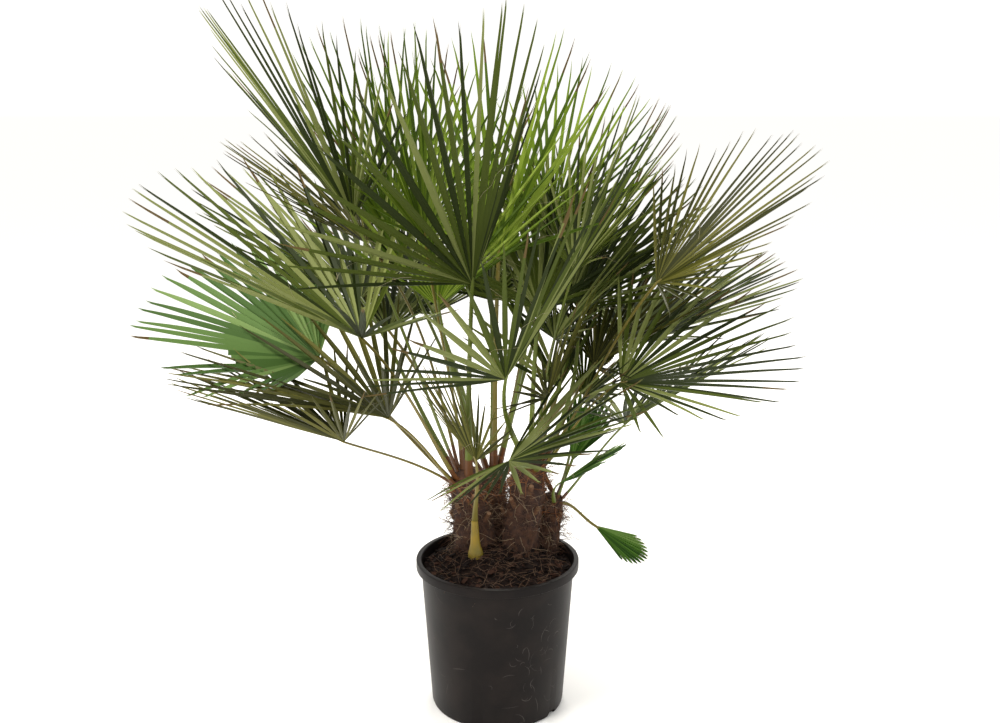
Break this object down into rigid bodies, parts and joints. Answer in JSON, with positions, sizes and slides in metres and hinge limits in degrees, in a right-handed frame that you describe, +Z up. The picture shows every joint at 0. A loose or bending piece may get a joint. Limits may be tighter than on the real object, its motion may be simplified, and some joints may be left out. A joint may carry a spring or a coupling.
{
  "type": "potted fan palm",
  "caption": "Clump of fibrous palm stems with stiff fan leaves on slender stalks, growing in a round black nursery pot.",
  "frame": {"origin": "centre of the pot's flat underside", "axes": "+Z up, the front of the plant faces -Y, +X is to the right as seen from the front"},
  "size_m": [1.518, 1.5078, 1.555],
  "materials": {
    "pot": "satin charcoal moulded plastic with scuffs",
    "soil": "dark bark and peat mix with pale fibres",
    "stem": "matt maroon-brown leaf-base fibre",
    "frond": "satin olive-green leaf",
    "young_frond": "glossy bright green pleated young leaf"
  },
  "bodies": {
    "root": {"folded_leaf": "young_frond", "frond_back_1": "frond", "frond_back_2": "frond", "frond_back_3": "frond", "frond_back_4": "frond", "frond_back_5": "frond", "frond_back_7": "frond", "frond_back_lit": "frond", "frond_front": "frond", "frond_front_high": "frond", "frond_front_low": "frond", "frond_left": "frond", "frond_left_2": "frond", "frond_left_3": "frond", "frond_left_dark": "frond", "frond_left_high": "frond", "frond_left_low": "frond", "frond_left_lowest": "frond", "frond_left_pale": "frond", "frond_left_up": "frond", "frond_right_1": "frond", "frond_right_2": "frond", "frond_right_3": "frond", "frond_right_4": "frond", "frond_right_high": "frond", "frond_right_inner": "frond", "frond_right_low": "frond", "frond_right_middle": "frond", "frond_right_short": "frond", "frond_right_upper": "frond", "frond_shoot": "frond", "frond_side_1": "frond", "frond_side_2": "frond", "frond_side_4": "frond", "frond_top": "frond", "frond_top_left": "frond", "frond_top_right": "frond", "pot": "pot", "shoot_front": "stem", "soil": "soil", "stem_back": "stem", "stem_left": "stem", "stem_right": "stem", "stem_side": "stem", "young_leaf_1": "young_frond", "young_leaf_2": "young_frond"}
  },
  "joints": []
}
